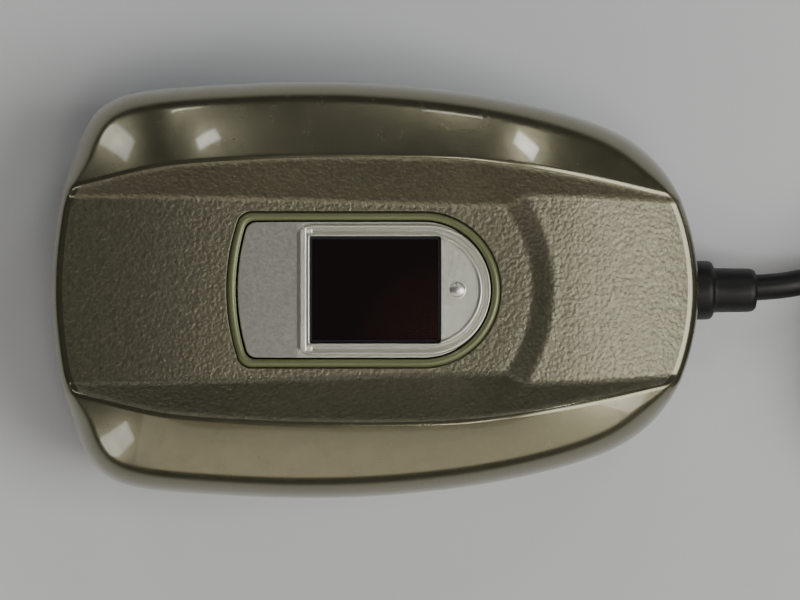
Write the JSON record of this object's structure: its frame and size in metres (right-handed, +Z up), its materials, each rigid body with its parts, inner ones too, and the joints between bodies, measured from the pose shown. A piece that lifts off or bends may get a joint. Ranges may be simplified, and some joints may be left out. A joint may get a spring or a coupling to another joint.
{
  "type": "fingerprint scanner terminal",
  "caption": "Desktop fingerprint scanner: rounded two-part shell with raised glossy wings, a textured finger channel, a framed glass platen and a corded plug.",
  "frame": {"origin": "on the table under the middle of the body's box, cord pieces left out", "axes": "+X from the front of the body to its cord end, +Y across the body, +Z up from the table"},
  "size_m": [0.1857, 0.0778, 0.0349],
  "materials": {
    "shell_gloss": "glossy champagne-bronze lacquer over moulded plastic, fine metallic flake",
    "base_plastic": "fine spark-eroded matte black plastic",
    "ring_olive": "glossy olive-green lacquer",
    "plaque_silver": "satin silver paint with fine metallic grain",
    "optical_glass": "polished optical glass, looks black",
    "gasket_black": "thin black foam gasket",
    "boot_rubber": "black moulded PVC, soft sheen",
    "cord_pvc": "black PVC cable jacket, glossy",
    "foot_rubber": "matte black rubber",
    "screw_steel": "zinc plated steel, brushed",
    "label_film": "blank silver polyester label",
    "ballast_steel": "bare rolled steel",
    "chassis_black": "matte black moulded plastic",
    "board_green": "green solder mask over glass-fibre board",
    "led_resin": "red LED resin package",
    "diffuser_white": "milky diffusing plastic",
    "mirror_silver": "front-surface mirror",
    "lens_glass": "coated lens glass",
    "chip_black": "epoxy package with plated legs",
    "can_metal": "drawn metal can",
    "connector_white": "ivory nylon connector",
    "wire_jacket": "thin coloured wire insulation",
    "plug_metal": "nickel plated steel",
    "plug_tongue": "white moulded plastic",
    "contact_gold": "gold plated contacts",
    "tie_black": "black releasable tie"
  },
  "bodies": {
    "root": {"ballast_plate": "ballast_steel", "board_screws": "screw_steel", "cable_boot": "boot_rubber", "cable_clamp": "chassis_black", "camera_board": "board_green", "camera_cable": "cord_pvc", "camera_header": "connector_white", "camera_plugs": "connector_white", "capacitors": "can_metal", "clamp_screws": "screw_steel", "controller_chips": "chip_black", "cord": "cord_pvc", "cord_coil": "cord_pvc", "cord_tie": "tie_black", "crystal": "can_metal", "fold_mirror": "mirror_silver", "harness_plug": "connector_white", "harness_wires": "wire_jacket", "housing_screws": "screw_steel", "illumination_leds": "led_resin", "image_sensor": "chip_black", "led_board": "board_green", "lens_barrel": "chassis_black", "lens_elements": "lens_glass", "light_diffuser": "diffuser_white", "lower_housing": "base_plastic", "main_board": "board_green", "module_screws": "screw_steel", "optical_prism": "optical_glass", "optics_chassis": "chassis_black", "rating_label": "label_film", "rubber_feet": "foot_rubber", "sensor_bezel": "plaque_silver", "sensor_header": "connector_white", "trim_ring": "ring_olive", "upper_housing": "shell_gloss", "usb_contacts": "contact_gold", "usb_header": "connector_white", "usb_overmould": "boot_rubber", "usb_shell": "plug_metal", "usb_tongue": "plug_tongue", "window_gasket": "gasket_black"}
  },
  "joints": []
}
